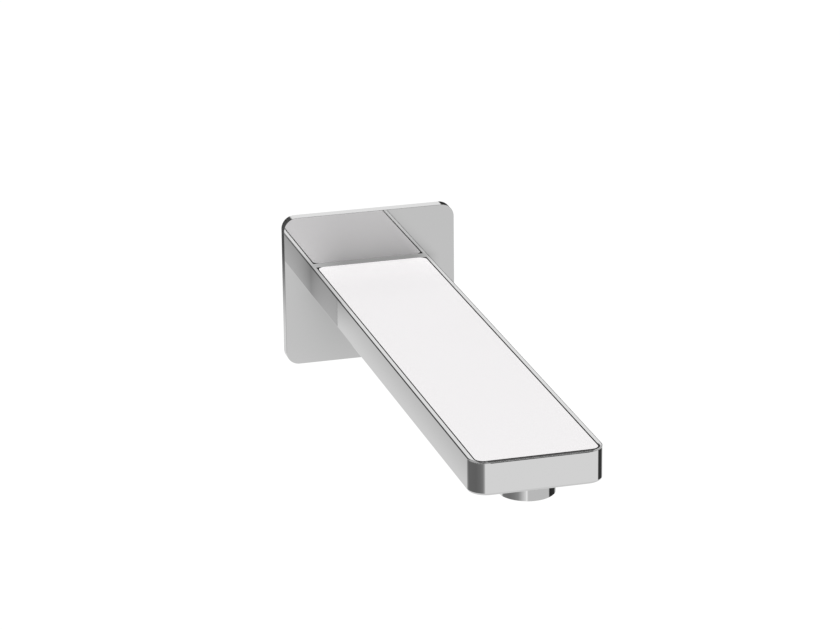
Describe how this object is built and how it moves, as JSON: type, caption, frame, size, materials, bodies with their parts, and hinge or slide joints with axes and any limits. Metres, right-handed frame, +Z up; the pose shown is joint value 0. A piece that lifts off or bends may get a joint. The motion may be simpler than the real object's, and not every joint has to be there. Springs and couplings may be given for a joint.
{
  "type": "wall-mounted basin spout",
  "caption": "Wall-mounted basin spout: a long flat chromed bar with a white panel in its top, a square cover plate, a round aerator under its front end and a threaded inlet behind.",
  "frame": {"origin": "middle of the cover plate's back, in the plane of the wall", "axes": "+Y into the wall along the water way, +Z up, +X to the right as seen from the room"},
  "size_m": [0.08, 0.2817, 0.07],
  "materials": {
    "chrome": "polished chrome plating on brass",
    "white_panel": "white with a soft gloss",
    "adhesive": "soft adhesive tape",
    "copper": "drawn copper",
    "foam": "closed-cell foam",
    "brass": "turned brass",
    "rubber": "moulded rubber",
    "steel": "stainless steel",
    "white_plastic": "moulded white",
    "grey_plastic": "moulded grey"
  },
  "bodies": {
    "root": {"spout_body": "chrome", "top_insert": "white_panel", "insert_bond": "adhesive", "waterway_tube": "copper", "wall_plate": "chrome", "wall_gasket": "foam", "inlet_nipple": "brass", "spigot_o_ring_front": "rubber", "spigot_o_ring_rear": "rubber", "plate_washer": "rubber", "nipple_seal": "rubber", "grub_screw": "steel", "grub_plug": "grey_plastic", "outlet_nipple": "brass", "outlet_o_ring": "rubber", "aerator_housing": "chrome", "aerator_washer": "rubber", "aerator_cage": "white_plastic", "aerator_strainer": "white_plastic", "flow_regulator": "white_plastic", "regulator_o_ring": "rubber", "aerator_jet_plate": "white_plastic", "aerator_honeycomb": "grey_plastic"}
  },
  "joints": []
}
